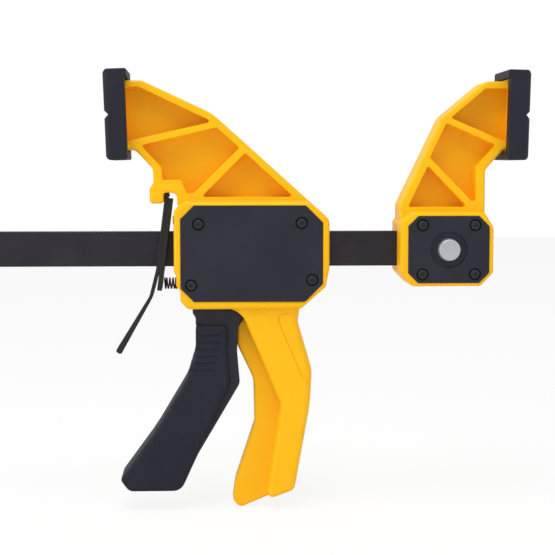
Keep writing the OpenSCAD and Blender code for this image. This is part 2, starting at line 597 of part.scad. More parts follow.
module carriage_frame() color(moulding_colour) at_carriage() difference() {
    union() {
        difference() {
            moulding(rounded(moving_arm), arm_w, arm_edge, arm_edge);
            pockets(moving_cells);
        }
        difference() {
            union() {
                moulding(rounded(body_housing), body_w, 2, 2.4);
                moulding(rounded(handle), handle_w, 3, 4);
            }
            side(2 * (cheek_gap / 2 + cheek_t + 0.6)) polygon(sweep);
        }
        moulding(rounded(blade), blade_w, 1.5, 1.5);
        at_pad(-moving_reach, -moving_lean) mirror([1, 0, 0]) end_plate();
    }
    side(cavity_w) polygon(cavity);
    // Room for the trigger's cheeks in front of the cavity and round the pivot
    side(2 * (cheek_gap / 2 + cheek_t + 0.6)) {
        polygon([[-34.6, -27.4], [-29 - sweep_gap, -10],
            [pivot_at[0] - cheek_boss - sweep_gap, pivot_at[1]], pivot_at, [-20, -27.4]]);
        translate(pivot_at) circle(cheek_boss + sweep_gap);
    }
    // The side walls are open under the covers, but for a boss that holds the pivot pin
    side(body_w + 2) difference() {
        polygon(soft(window, 2));
        translate(pivot_at) circle(pivot_d / 2 + 3);
    }
    guide_seat(body_front - 1, cavity_front, front_guide_low, front_guide_top);
    guide_seat(cavity_rear, body_rear - 2.5, -guide_rear_h / 2, guide_rear_h / 2);
    bar_along(body_front - 1, body_rear + 1, loose_gap);
    translate([roll_at[0], 0, roll_at[1]]) along_y(2 * (roll_r + turn_gap), -arm_w, arm_w);
    translate([pivot_at[0], 0, pivot_at[1]]) along_y(pivot_d, -pivot_half, pivot_half);
    translate([body_front + body_step, 0, brake_spring_z]) along_x(8, -1, 0.6);
    cover_seat(body_cover, cover_drop, body_w);
    screw_holes(body_w, body_screws);
}

// ---- Guides that the bar slides in ----

module guide_seat(x1, x2, z1, z2) translate([x1, -guide_w / 2, z1]) cube([x2 - x1, guide_w, z2 - z1]);

module bar_guide_front() color(plastic_colour) at_carriage() difference() {
    union() {
        guide_seat(body_front - 0.3, cavity_front, front_guide_low, front_guide_top);
        guide_seat(body_front - 0.7, body_front, bar_h / 2 + 4.6, front_guide_top);
    }
    bar_along(body_front - 2, cavity_front + 1, slide_gap);
}

module bar_guide_rear() color(plastic_colour) at_carriage() difference() {
    guide_seat(cavity_rear, body_rear - 2.5, -guide_rear_h / 2, guide_rear_h / 2);
    bar_along(cavity_rear - 1, body_rear, slide_gap);
}

// ---- Trigger ----

pivot_half = body_w / 2 + cover_proud - cover_t;
module trigger_pivot_pin() color(steel_colour) at_carriage()
    translate([pivot_at[0], 0, pivot_at[1]]) along_y(pivot_d, -pivot_half, pivot_half);

cheek_boss = 6.2;                               // radius round the pivot
lever_w_all = cheek_gap + 2 * cheek_t;
lever_corners = concat([for (i = [0 : 2]) trigger_front[i]],
    [[trigger_front[2][0], grip_top, 0], [trigger_front[2][0] + grip_skin, grip_top, 0]],
    [for (i = [3 : 5]) trigger_front[i] + [(1 + 0.06 * i) * grip_skin - 0.2, 0, 0]],
    [[-75.9 + 1.5 * grip_skin, -132.4, 2.6], [-68.2, trigger_foot + grip_skin, 4],
    [-42, trigger_foot + grip_skin, 6]], [for (i = [1 : 4]) trigger_back[i]],
    [[-4, -33, 0], [-10.2, -27, 0]]);
cheek = [[-33.8, -27.5, 0], [-4, -33, 0], [-10.4, -16, 4], [-10.4, 4, 0],
    [pivot_at[0] + cheek_boss, pivot_at[1], 0], [pivot_at[0] - cheek_boss, pivot_at[1], 0],
    [-29, -10, 12]];
channel_wall = 3;                               // front wall of the trigger's channel
channel_line = inset([for (p = lever_corners) [p[0], p[1]]], channel_wall);
channel = concat([[-45, -30, 0], [channel_line[4][0], -30, 0]],
    [for (i = [5 : 9]) [channel_line[i][0], channel_line[i][1], max(1, lever_corners[i][2] - 3)]],
    [[60, channel_line[10][1], 0], [60, 60, 0], [-45, 60, 0]]);

module trigger_lever() color(plastic_colour) at_carriage() difference() {
    union() {
        difference() {
            union() {
                moulding(rounded(lever_corners), lever_w_all, 1.2, 1.2);
                side(lever_w_all - 0.2) {
                    polygon(rounded(cheek));
                    translate(pivot_at) circle(cheek_boss);
                }
            }
            side(cheek_gap) polygon(rounded(channel));
        }
        translate([nose_at[0], 0, nose_at[1]]) along_y(2 * nose_r, -cheek_gap / 2 - 1, cheek_gap / 2 + 1);
    }
    translate([pivot_at[0], 0, pivot_at[1]]) along_y(pivot_d + 2 * turn_gap, -body_w, body_w);
}

grip_strip = 5.5;                              // the lever's bare strip behind the rubber
grip_outline = concat([[trigger_front[2][0], grip_top, 2.6]], [for (i = [3 : 7]) trigger_front[i]],
    [trigger_back[0]], [for (i = [1 : 2]) trigger_back[i] - [grip_strip, 0, 0]],
    [[trigger_back[3][0] - grip_strip, grip_top, 2.6]]);
rib_pitch = 4;
rib_from = grip_top - 5.9;
rib_to = trigger_front[4][1] + 3;
grip_front = [for (i = [4, 3]) [trigger_front[i][1], trigger_front[i][0]]];

module trigger_grip() color([0.14, 0.15, 0.17]) at_carriage() difference() {
    moulding(rounded(grip_outline), grip_w, 2.4, 2.8);
    side(lever_w_all) polygon(rounded(lever_corners));
    for (z = [rib_from : -rib_pitch : rib_to]) translate([lookup(z, grip_front), 0, z]) rib_groove();
}

// Level groove between two ribs, deep across the front of the rubber and shallow along its sides
rib_core = [[0.6, 2.8], [1, 1], [2.4, 0.25], [15, 0.25]];   // from the front, and from the side
module rib_groove() difference() {
    translate([-2, -grip_w / 2 - 1, -0.45]) cube([16, grip_w + 2, 0.9]);
    for (m = [0, 1]) mirror([0, m, 0]) translate([0, 0, -1]) linear_extrude(2)
        polygon(concat([for (p = rib_core) [p[0], grip_w / 2 - p[1]]], [[15, -1], [0.6, -1]]));
}

// ---- Drive plates, their spring and its seat ----

module drive_plate(i) color(steel_colour) at_carriage()
    translate([plates_x + i * plate_pitch, 0, 0]) difference() {
        translate([0, -plate_w / 2, plate_low]) cube([plate_t, plate_w, plate_top - plate_low]);
        bar_along(-1, plate_t + 1, loose_gap);
    }
module drive_plate_1() drive_plate(0);
module drive_plate_2() drive_plate(1);
module drive_plate_3() drive_plate(2);

drive_coil_r = norm([bar_h, bar_t]) / 2 + 0.6 + drive_wire / 2;
module drive_spring_seat() color(plastic_colour) at_carriage() difference() {
    along_x(2 * drive_coil_r + drive_wire + 0.4, plates_end + turn_gap, spring_from);
    bar_along(plates_end - 1, spring_from + 1, loose_gap);
}

module drive_spring() color(steel_colour) at_carriage() translate([spring_from, 0, 0])
    rotate([0, 90, 0]) spring(drive_coil_r, drive_wire, cavity_rear - spring_from, 7);

// ---- Brake plate, release lever and brake spring ----

brake_low = -54.6;
slot_z = (-roll_at[1] + (lever_t / 2 + brake_t / 2) * sin(brake_tilt)) / cos(brake_tilt);
brake_slot_h = (bar_h + brake_t * sin(brake_tilt)) / cos(brake_tilt) + 2 * loose_gap;
module at_roll() at_carriage() translate([roll_at[0], 0, roll_at[1]]) children();

module brake_plate() color(bar_colour) at_roll() rotate([0, brake_tilt, 0])
    translate([lever_t / 2, 0, 0]) difference() {
        translate([0, -plate_w / 2, brake_low]) cube([brake_t, plate_w, -brake_low - 1.6]);
        translate([-1, -bar_t / 2 - loose_gap, slot_z - brake_slot_h / 2])
            cube([brake_t + 2, bar_t + 2 * loose_gap, brake_slot_h]);
    }

// Line of the lever's sheet from the rolled end, along the brake plate first
lever_straight = -(roll_at[1] + bar_h / 2 + 2) / cos(brake_tilt);
lever_line = bent([[0, 0], [lever_straight * sin(brake_tilt), lever_straight * cos(brake_tilt), 14],
    [-9.4, -58.4, 12], [-29, -89.9]]);
lever_outer = strip_side(lever_line, -lever_t / 2);
lever_inner = strip_side(lever_line, lever_t / 2);
tip = len(lever_line) - 1;
// The finger tab grows thicker towards its tip, on the handle's side
tab_tip = lever_inner[tip] + 1.7 * unit(lever_inner[tip] - lever_outer[tip]);
lever_outline = concat([for (i = [0 : tip - 1]) lever_outer[i]],
    corner(lever_outer[tip - 1], concat(lever_outer[tip], [1.2]), tab_tip),
    corner(lever_outer[tip], concat(tab_tip, [1.4]), lever_inner[tip - 1]),
    [for (i = [tip - 1 : -1 : 0]) lever_inner[i]]);
module release_lever() color(bar_colour) at_roll() difference() {
    union() {
        side(lever_w) polygon(lever_outline);
        along_y(2 * roll_r, -lever_w / 2, lever_w / 2);
    }
    rotate([0, brake_tilt, 0]) translate([-5, -bar_t / 2 - 0.6, slot_z - bar_h / 2 - 1])
        cube([10, bar_t + 1.2, bar_h + 2]);
}

brake_spring_z = -20;
spring_drop = roll_at[1] - brake_spring_z;
brake_spring_x = roll_at[0] + (lever_t / 2 + brake_t) / cos(brake_tilt) - spring_drop * tan(brake_tilt);
module brake_spring() color(steel_colour) at_carriage()
    translate([brake_spring_x + 0.4, 0, brake_spring_z]) rotate([0, 90, 0])
        spring(3, brake_wire, body_front + body_step + 0.6 - brake_spring_x - 0.4, 4);

slide_bar();
bar_stop_pin();
fixed_jaw_frame();
fixed_jaw_pad();
fixed_jaw_cover_front();
fixed_jaw_cover_back();
fixed_jaw_screws_front();
fixed_jaw_screws_back();
lock_button();
lock_yoke();
lock_spring();
carriage_frame();
moving_jaw_pad();
body_cover_front();
body_cover_back();
body_cover_screws_front();
body_cover_screws_back();
bar_guide_front();
bar_guide_rear();
trigger_pivot_pin();
trigger_lever();
trigger_grip();
drive_plate_1();
drive_plate_2();
drive_plate_3();
drive_spring_seat();
drive_spring();
brake_plate();
release_lever();
brake_spring();
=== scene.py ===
import json
import math

import bmesh
import bpy
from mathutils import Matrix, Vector
from mathutils.bvhtree import BVHTree


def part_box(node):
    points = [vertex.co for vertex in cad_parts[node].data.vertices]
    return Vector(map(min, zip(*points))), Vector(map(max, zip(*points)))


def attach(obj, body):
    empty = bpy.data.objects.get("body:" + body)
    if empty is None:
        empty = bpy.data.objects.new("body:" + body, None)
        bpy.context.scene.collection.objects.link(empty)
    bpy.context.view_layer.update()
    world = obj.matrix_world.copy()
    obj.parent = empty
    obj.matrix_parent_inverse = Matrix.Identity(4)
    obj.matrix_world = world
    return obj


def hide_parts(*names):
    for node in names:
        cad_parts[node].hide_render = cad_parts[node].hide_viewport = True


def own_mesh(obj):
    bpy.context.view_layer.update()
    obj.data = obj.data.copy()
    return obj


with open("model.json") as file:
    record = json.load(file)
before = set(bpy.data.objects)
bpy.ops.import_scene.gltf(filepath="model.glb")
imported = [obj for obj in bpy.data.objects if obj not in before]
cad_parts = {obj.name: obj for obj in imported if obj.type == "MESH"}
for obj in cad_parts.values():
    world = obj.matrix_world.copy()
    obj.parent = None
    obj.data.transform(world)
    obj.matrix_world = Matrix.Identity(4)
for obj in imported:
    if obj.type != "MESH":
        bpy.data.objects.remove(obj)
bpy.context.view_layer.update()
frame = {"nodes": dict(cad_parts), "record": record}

# Studio. The clamp is shown on a plain white bench top in front of a white wall, seen from
# the side of its lock button and a little from above. White air all round gives most of the
# light, one large soft lamp hangs over the camera, and two more stand left and right.
scene = bpy.context.scene
scene.view_settings.view_transform = "Standard"
stand_point = Vector((0.019347, -0.780, 0.197199))
look_point = Vector((0.056297, 0.0, 0.133229))
camera_lens = bpy.data.cameras.new("camera")
camera_lens.sensor_width = 36.0
camera_lens.lens = 87.63
camera = bpy.data.objects.new("camera", camera_lens)
camera.location = stand_point
camera.rotation_euler = (look_point - stand_point).to_track_quat("-Z", "Y").to_euler()
scene.collection.objects.link(camera)
scene.camera = camera


def seen_directly(tree):
    """1 for the rays of the camera and of what gloss and clear stuff show, otherwise 0."""
    path = tree.nodes.new("ShaderNodeLightPath")
    seen = path.outputs["Is Camera Ray"]
    for kind in ("Is Glossy Ray", "Is Transmission Ray"):
        either = tree.nodes.new("ShaderNodeMath")
        either.operation = "MAXIMUM"
        tree.links.new(seen, either.inputs[0])
        tree.links.new(path.outputs[kind], either.inputs[1])
        seen = either.outputs[0]
    return seen


white = (1.0, 1.0, 1.0, 1.0)
white_air = bpy.data.worlds.new("white_air")
scene.world = white_air
white_air.use_nodes = True
air = white_air.node_tree
air.nodes.clear()
air_glow = air.nodes.new("ShaderNodeBackground")
air_glow.inputs["Color"].default_value = white
air_glow.inputs["Strength"].default_value = 0.51
air_white = air.nodes.new("ShaderNodeBackground")
air_white.inputs["Color"].default_value = white
air_white.inputs["Strength"].default_value = 1.0
air_mix = air.nodes.new("ShaderNodeMixShader")
air_out = air.nodes.new("ShaderNodeOutputWorld")
air.links.new(seen_directly(air), air_mix.inputs["Fac"])
air.links.new(air_glow.outputs[0], air_mix.inputs[1])
air.links.new(air_white.outputs[0], air_mix.inputs[2])
air.links.new(air_mix.outputs[0], air_out.inputs["Surface"])

bench_half = 3.0
bench_level = -0.0004
bench_mesh = bpy.data.meshes.new("bench_top")
bench_mesh.from_pydata([(bench_half * x, bench_half * y, bench_level)
                        for x, y in ((-1, -1), (1, -1), (1, 1), (-1, 1))], [], [(0, 1, 2, 3)])
bench_top = bpy.data.objects.new("bench_top", bench_mesh)
scene.collection.objects.link(bench_top)
bench_paint = bpy.data.materials.new("bench_paint")
bench_paint.use_nodes = True
bench_tree = bench_paint.node_tree
bench_matt = bench_tree.nodes["Principled BSDF"]
bench_matt.inputs["Base Color"].default_value = (0.95, 0.95, 0.95, 1.0)
bench_matt.inputs["Roughness"].default_value = 0.9
bench_white = bench_tree.nodes.new("ShaderNodeEmission")
bench_white.inputs["Strength"].default_value = 1.0
white_share = 0.86
bench_share = bench_tree.nodes.new("ShaderNodeMath")
bench_share.operation = "MULTIPLY"
bench_share.inputs[1].default_value = white_share
bench_mix = bench_tree.nodes.new("ShaderNodeMixShader")
bench_tree.links.new(seen_directly(bench_tree), bench_share.inputs[0])
bench_tree.links.new(bench_share.outputs[0], bench_mix.inputs["Fac"])
bench_tree.links.new(bench_matt.outputs[0], bench_mix.inputs[1])
bench_tree.links.new(bench_white.outputs[0], bench_mix.inputs[2])
bench_tree.links.new(bench_mix.outputs[0], bench_tree.nodes["Material Output"].inputs["Surface"])
bench_mesh.materials.append(bench_paint)


def hang_lamp(name, place, watts, wide):
    """A square soft lamp of that width in metres, turned to the middle of the clamp."""
    lamp_data = bpy.data.lights.new(name, "AREA")
    lamp_data.energy = watts
    lamp_data.size = wide
    lamp = bpy.data.objects.new(name, lamp_data)
    lamp.location = place
    lamp.rotation_euler = (look_point - Vector(place)).to_track_quat("-Z", "Y").to_euler()
    scene.collection.objects.link(lamp)


hang_lamp("lamp_above", (-0.20, -0.50, 1.40), watts=11.5, wide=0.8)
hang_lamp("lamp_left", (-1.40, -0.50, 0.38), watts=6.5, wide=0.7)
hang_lamp("lamp_right", (1.25, -0.75, 0.50), watts=2.5, wide=0.6)


# Yellow mouldings. The carriage with its fixed handle, and the fixed jaw, are each one piece
# of glass-filled nylon, dyed yellow right through. The tool is finely spark-eroded, which
# leaves a satin skin, and every edge that meets the hand has a small radius.
def new_group(name, inputs, outputs):
    """An empty shader node group: (tree, its input node, its output node)."""
    tree = bpy.data.node_groups.new(name, "ShaderNodeTree")
    for label, kind, value in inputs:
        made = tree.interface.new_socket(label, in_out="INPUT", socket_type=kind)
        made.default_value = value
    for label, kind in outputs:
        tree.interface.new_socket(label, in_out="OUTPUT", socket_type=kind)
    return tree, tree.nodes.new("NodeGroupInput"), tree.nodes.new("NodeGroupOutput")


def feed(tree, value, socket):
    """Gives an input socket its value, which is a number, a colour or another socket."""
    if isinstance(value, bpy.types.NodeSocket):
        tree.links.new(value, socket)
    else:
        socket.default_value = value


def noise(tree, place, per_metre, detail):
    """Soft noise over a place socket, so many grains to the metre."""
    node = tree.nodes.new("ShaderNodeTexNoise")
    feed(tree, detail, node.inputs["Detail"])
    feed(tree, place, node.inputs["Vector"])
    feed(tree, per_metre, node.inputs["Scale"])
    return node.outputs["Fac"]


def between(tree, share, low, high, data_type="FLOAT"):
    """Share 0 gives low and share 1 gives high: numbers, or colours with data_type RGBA."""
    node = tree.nodes.new("ShaderNodeMix")
    node.data_type = data_type
    first, result = {"FLOAT": (2, 0), "RGBA": (6, 2)}[data_type]
    feed(tree, share, node.inputs[0])
    feed(tree, low, node.inputs[first])
    feed(tree, high, node.inputs[first + 1])
    return node.outputs[result]


def stretched(tree, value, low, high):
    """A value from low to high spread over 0 to 1, and cut off beyond."""
    node = tree.nodes.new("ShaderNodeMapRange")
    feed(tree, low, node.inputs["From Min"])
    feed(tree, high, node.inputs["From Max"])
    feed(tree, value, node.inputs["Value"])
    return node.outputs["Result"]


def product(tree, one, other):
    """Two value sockets multiplied."""
    node = tree.nodes.new("ShaderNodeMath")
    node.operation = "MULTIPLY"
    feed(tree, one, node.inputs[0])
    feed(tree, other, node.inputs[1])
    return node.outputs[0]


def sideways(tree, vector):
    """How far a vector reaches across the bar, to either side."""
    apart = tree.nodes.new("ShaderNodeSeparateXYZ")
    tree.links.new(vector, apart.inputs[0])
    either = tree.nodes.new("ShaderNodeMath")
    either.operation = "ABSOLUTE"
    tree.links.new(apart.outputs["Y"], either.inputs[0])
    return either.outputs[0]


def put_out(tree, group_out, **values):
    """Links each value to the output of its node group that has that name."""
    for label, value in values.items():
        tree.links.new(value, group_out.inputs[label])


surface_outputs = [("Colour", "NodeSocketColor"), ("Roughness", "NodeSocketFloat"),
                   ("Height", "NodeSocketFloat")]
skin_group, skin_in, skin_out = new_group(
    "moulded_skin",
    [("Colour", "NodeSocketColor", (0.8, 0.8, 0.8, 1.0)),
     ("Flow Colour", "NodeSocketColor", (0.7, 0.7, 0.7, 1.0)),
     ("Sunk Colour", "NodeSocketColor", (0.8, 0.8, 0.8, 1.0)),
     ("Sunk From", "NodeSocketFloat", 0.0021),
     ("Grain per Metre", "NodeSocketFloat", 2500.0),
     ("Low Roughness", "NodeSocketFloat", 0.4),
     ("High Roughness", "NodeSocketFloat", 0.5)],
    surface_outputs)
skin_seat = skin_group.nodes.new("ShaderNodeTexCoord")
skin_place = skin_seat.outputs["Object"]
skin_grain = noise(skin_group, skin_place, skin_in.outputs["Grain per Metre"], detail=2.0)
skin_clouds = noise(skin_group, skin_place, per_metre=38.0, detail=3.0)
skin_flow = stretched(skin_group, skin_clouds, low=0.35, high=0.65)
skin_patches = noise(skin_group, skin_place, per_metre=120.0, detail=2.0)
skin_smudge = stretched(skin_group, skin_patches, low=0.3, high=0.7)
# Painted shade: faces that look sideways and lie deep, near the middle plane, take a deeper orange
# that stands for the shade and yellow bounce light in the pockets
full_shade_depth = 0.0020
skin_depth = stretched(skin_group, sideways(skin_group, skin_place),
                       skin_in.outputs["Sunk From"], full_shade_depth)
skin_flat = stretched(skin_group, sideways(skin_group, skin_seat.outputs["Normal"]),
                      low=0.5, high=0.8)
skin_painted_shade = product(skin_group, skin_depth, skin_flat)
skin_open = between(skin_group, skin_flow, skin_in.outputs["Colour"],
                    skin_in.outputs["Flow Colour"], "RGBA")
skin_colour = between(skin_group, skin_painted_shade, skin_open, skin_in.outputs["Sunk Colour"], "RGBA")
skin_roughness = between(skin_group, skin_smudge, skin_in.outputs["Low Roughness"],
                         skin_in.outputs["High Roughness"])
put_out(skin_group, skin_out, Colour=skin_colour, Roughness=skin_roughness, Height=skin_grain)


def new_finish(name, group, settings, relief, **fixed):
    """A Principled material fed by one surface group. relief is the depth of its texture in
    metres; fixed names Principled inputs that are the same all over."""
    material = bpy.data.materials.new(name)
    material.use_nodes = True
    tree = material.node_tree
    shell = tree.nodes["Principled BSDF"]
    surface = tree.nodes.new("ShaderNodeGroup")
    surface.node_tree = group
    for label, value in settings.items():
        surface.inputs[label].default_value = value
    tree.links.new(surface.outputs["Colour"], shell.inputs["Base Color"])
    tree.links.new(surface.outputs["Roughness"], shell.inputs["Roughness"])
    bump = tree.nodes.new("ShaderNodeBump")
    bump.inputs["Strength"].default_value = 1.0
    bump.inputs["Distance"].default_value = relief
    tree.links.new(surface.outputs["Height"], bump.inputs["Height"])
    tree.links.new(bump.outputs["Normal"], shell.inputs["Normal"])
    for label, value in fixed.items():
        shell.inputs[label.replace("_", " ")].default_value = value
    return material


# Its third colour is painted shade for the deep pocket webs, not a colour of the nylon
yellow_nylon = new_finish(
    "yellow_nylon", skin_group,
    {"Colour": (0.970, 0.505, 0.001, 1.0), "Flow Colour": (0.955, 0.485, 0.001, 1.0),
     "Sunk Colour": (0.930, 0.450, 0.001, 1.0), "Sunk From": 0.0120,
     "Grain per Metre": 2600.0, "Low Roughness": 0.42, "High Roughness": 0.50},
    relief=0.00002, IOR=1.5, Specular_IOR_Level=0.22)

body_of = {node: body for body, nodes in frame["record"]["behaviour"]["bodies"].items()
           for node in nodes}


def carry(piece, node, material):
    """Gives a new piece its material, and lets it stand for a solid and ride on its body."""
    piece.data.materials.clear()
    piece.data.materials.append(material)
    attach(piece, body_of[node])
    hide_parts(node)
    return piece


# Faces that turn less than level_angle are one flat before the rounding, and less than
# even_angle after it. Edges over sharp_angle are rounded, and those over crisp_angle show.
weld_distance = 0.000002
level_angle = math.radians(0.8)
even_angle = math.radians(0.5)
sharp_angle = math.radians(50.0)
crisp_angle = math.radians(40.0)


def rounded_off(source, radius, plain):
    """A mesh in the making with its sharp edges rounded, apart from those at plain places, and
    the faces that the rounding has turned over where two roundings cross."""
    work = bmesh.new()
    work.from_mesh(source)
    bmesh.ops.remove_doubles(work, verts=work.verts, dist=weld_distance)
    bmesh.ops.dissolve_limit(work, angle_limit=level_angle, verts=work.verts, edges=work.edges)
    bmesh.ops.triangulate(work, faces=[f for f in work.faces if len(f.verts) > 4
                                       or not all(c.is_convex for c in f.loops)])
    work.normal_update()
    if not radius:
        return work, []
    skin = BVHTree.FromBMesh(work)
    near_plain = radius * 1.6
    sharp = [e for e in work.edges if len(e.link_faces) == 2
             and e.calc_face_angle(0.0) > sharp_angle
             and not any((v.co - place).length < near_plain
                         for v in e.verts for place in plain)]
    bmesh.ops.bevel(work, geom=sharp, offset=radius, offset_type="OFFSET", segments=3,
                    profile=0.5, affect="EDGES", clamp_overlap=False, loop_slide=False)
    work.normal_update()
    least_area = 1e-11
    least_agreement = 0.3
    most_apart = radius * 0.6
    folded = []
    for face in work.faces:
        if face.calc_area() > least_area:
            _, facing, _, apart = skin.find_nearest(face.calc_center_median())
            if facing.dot(face.normal) < least_agreement or apart > most_apart:
                folded.append(face)
    return work, folded


def soft_edged(node, material, radius):
    """A copy of a solid with its sharp edges rounded off, in place of the solid. A radius of 0
    leaves them as they are."""
    mesh = frame["nodes"][node].data.copy()
    mesh.name = node + "_soft"
    plain = []
    work, folded = rounded_off(mesh, radius, plain)
    most_repeats = 4
    for _ in range(most_repeats):
        if folded:
            plain += [v.co.copy() for face in folded for v in face.verts]
            work.free()
            work, folded = rounded_off(mesh, radius, plain)
    bmesh.ops.dissolve_limit(work, angle_limit=even_angle, verts=work.verts, edges=work.edges)
    work.to_mesh(mesh)
    work.free()
    mesh.shade_smooth()
    mesh.set_sharp_from_angle(angle=crisp_angle)
    piece = bpy.data.objects.new(node + "_soft", mesh)
    scene.collection.objects.link(piece)
    even = piece.modifiers.new("even_normals", "WEIGHTED_NORMAL")
    even.keep_sharp = True
    return carry(piece, node, material)


moulding_edge = 0.0004
carriage = soft_edged("carriage_frame", yellow_nylon, moulding_edge)
soft_edged("fixed_jaw_frame", yellow_nylon, moulding_edge)


def eased(corners, cuts, steps=8):
    """An open line of (x, z) corners. Each inner one is rounded off, from its cut before it to
    its cut after it."""
    corners = [Vector(corner) for corner in corners]
    line = corners[:1]
    for before, corner, after, cut in zip(corners, corners[1:], corners[2:], cuts):
        near = corner + (before - corner).normalized() * cut
        far = corner + (after - corner).normalized() * cut
        for share in (i / steps for i in range(steps + 1)):
            line.append(near.lerp(corner, share).lerp(corner.lerp(far, share), share))
    return line + corners[-1:]


def flat_under(work, side, line):
    """The outermost flat face on one side that an open line of (x, z) runs over, or None."""
    square_on = 0.999
    flats = [f for f in work.faces if f.normal.y * side > square_on
             and all(bmesh.geometry.intersect_face_point(f, (p.x, f.verts[0].co.y, p.y))
                     for p in line[1:-1])]
    return max(flats, key=lambda f: f.verts[0].co.y * side, default=None)


def new_corner(face, spot):
    """Splits the edge of a face that lies nearest to a spot, as near to it as can be."""
    least_share = 0.02
    best = None
    for edge in face.edges:
        start, end = (v.co for v in edge.verts)
        share = (spot - start).dot(end - start) / (end - start).length_squared
        share = min(max(share, least_share), 1 - least_share)
        apart = (start.lerp(end, share) - spot).length
        if best is None or apart < best[0]:
            best = apart, edge, share
    _, edge, share = best
    return bmesh.utils.edge_split(edge, edge.verts[0], share)[1]


def score(piece, side, line, width, depth):
    """Cuts a fine V line into a flat side of a piece, from edge to edge of that side."""
    work = bmesh.new()
    work.from_mesh(piece.data)
    flat = flat_under(work, side, line)
    if flat:
        level = flat.verts[0].co.y
        spots = [Vector((p.x, level, p.y)) for p in line]
        ends = [new_corner(flat, spots[0]), new_corner(flat, spots[-1])]
        other, _ = bmesh.utils.face_split(flat, ends[0], ends[1], coords=spots[1:-1])
        cut = bmesh.ops.bevel(work, geom=[e for e in flat.edges if other in e.link_faces],
                              offset=width / 2, offset_type="OFFSET", segments=2, profile=0.5,
                              affect="EDGES", clamp_overlap=False)
        walls = set(cut["faces"])
        for vertex in cut["verts"]:
            if walls.issuperset(vertex.link_faces):
                vertex.co.y -= side * depth
        work.to_mesh(piece.data)
        piece.data.set_sharp_from_angle(angle=crisp_angle)
    work.free()


# A fine line on each side of the handle bounds the saddle for the web of the thumb
saddle = eased([(0.0650, 0.1140), (0.0545, 0.1132), (0.0703, 0.0762), (0.0724, 0.0760)],
               cuts=[0.0055, 0.0015])
for side in (-1, 1):
    score(carriage, side, saddle, width=0.0006, depth=0.0006)


# Sliding bar. A flat of mild steel, blackened, with a locking hole near each end and a
# cross pin that stops the carriage before the free end.
rolled_group, rolled_in, rolled_out = new_group(
    "rolled_steel",
    [("Colour", "NodeSocketColor", (0.5, 0.5, 0.5, 1.0)),
     ("Streak Colour", "NodeSocketColor", (0.6, 0.6, 0.6, 1.0)),
     ("Lengthways", "NodeSocketVector", (12.0, 1200.0, 1200.0)),
     ("Low Roughness", "NodeSocketFloat", 0.3),
     ("High Roughness", "NodeSocketFloat", 0.5)],
    surface_outputs)
rolled_place = rolled_group.nodes.new("ShaderNodeTexCoord").outputs["Object"]
rolled_squeeze = rolled_group.nodes.new("ShaderNodeVectorMath")
rolled_squeeze.operation = "MULTIPLY"
rolled_group.links.new(rolled_place, rolled_squeeze.inputs[0])
rolled_group.links.new(rolled_in.outputs["Lengthways"], rolled_squeeze.inputs[1])
rolled_lines = noise(rolled_group, rolled_squeeze.outputs["Vector"], per_metre=1.0, detail=3.0)
rolled_clouds = noise(rolled_group, rolled_place, per_metre=60.0, detail=4.0)
rolled_patch = stretched(rolled_group, rolled_clouds, low=0.35, high=0.7)
rolled_colour = between(rolled_group, rolled_patch, rolled_in.outputs["Colour"],
                        rolled_in.outputs["Streak Colour"], "RGBA")
rolled_roughness = between(rolled_group, rolled_lines, rolled_in.outputs["Low Roughness"],
                           rolled_in.outputs["High Roughness"])
put_out(rolled_group, rolled_out, Colour=rolled_colour, Roughness=rolled_roughness,
        Height=rolled_lines)

black_bar = new_finish(
    "black_bar", rolled_group,
    {"Colour": (0.018, 0.016, 0.022, 1.0), "Streak Colour": (0.024, 0.021, 0.027, 1.0),
     "Lengthways": (14.0, 1500.0, 1500.0), "Low Roughness": 0.42, "High Roughness": 0.58},
    relief=0.000015, IOR=1.5, Specular_IOR_Level=0.2)
soft_edged("slide_bar", black_bar, radius=0.0005)

ground_steel = new_finish(
    "ground_steel", rolled_group,
    {"Colour": (0.50, 0.50, 0.52, 1.0), "Streak Colour": (0.56, 0.56, 0.58, 1.0),
     "Lengthways": (900.0, 900.0, 30.0), "Low Roughness": 0.25, "High Roughness": 0.42},
    relief=0.00001, Metallic=1.0)
soft_edged("bar_stop_pin", ground_steel, radius=0.0003)


# Jaw pads. Each is a cap of soft black rubber pulled over the jaw's end plate, with rounded
# corners and a V groove across its face for round work.
pad_rubber = new_finish(
    "pad_rubber", skin_group,
    {"Colour": (0.013, 0.014, 0.021, 1.0), "Flow Colour": (0.016, 0.017, 0.025, 1.0),
     "Grain per Metre": 3200.0, "Low Roughness": 0.55, "High Roughness": 0.68},
    relief=0.00003, IOR=1.5, Specular_IOR_Level=0.2)
for pad in ("moving_jaw_pad", "fixed_jaw_pad"):
    soft_edged(pad, pad_rubber, radius=0.0006)


# Cover plates. Flat black plates with cut corners close both sides of each housing. The
# front plate of the fixed jaw is dished round the lock button.
cover_plastic = new_finish(
    "cover_plastic", skin_group,
    {"Colour": (0.017, 0.018, 0.027, 1.0), "Flow Colour": (0.020, 0.021, 0.031, 1.0),
     "Grain per Metre": 3600.0, "Low Roughness": 0.50, "High Roughness": 0.60},
    relief=0.00002, IOR=1.5, Specular_IOR_Level=0.2)
for cover in ("body_cover_front", "body_cover_back", "fixed_jaw_cover_front",
              "fixed_jaw_cover_back"):
    soft_edged(cover, cover_plastic, radius=0.00035)


# Cover screws. Four black pan-head screws hold each cover plate, each at the bottom of its
# own well, with a hexagon socket in the head.
def hexagon_reach(angle):
    """From the middle of a hexagon of corner radius 1 to its outline, in one direction."""
    half_side = math.pi / 6
    return math.cos(half_side) / math.cos(angle % (2 * half_side) - half_side)


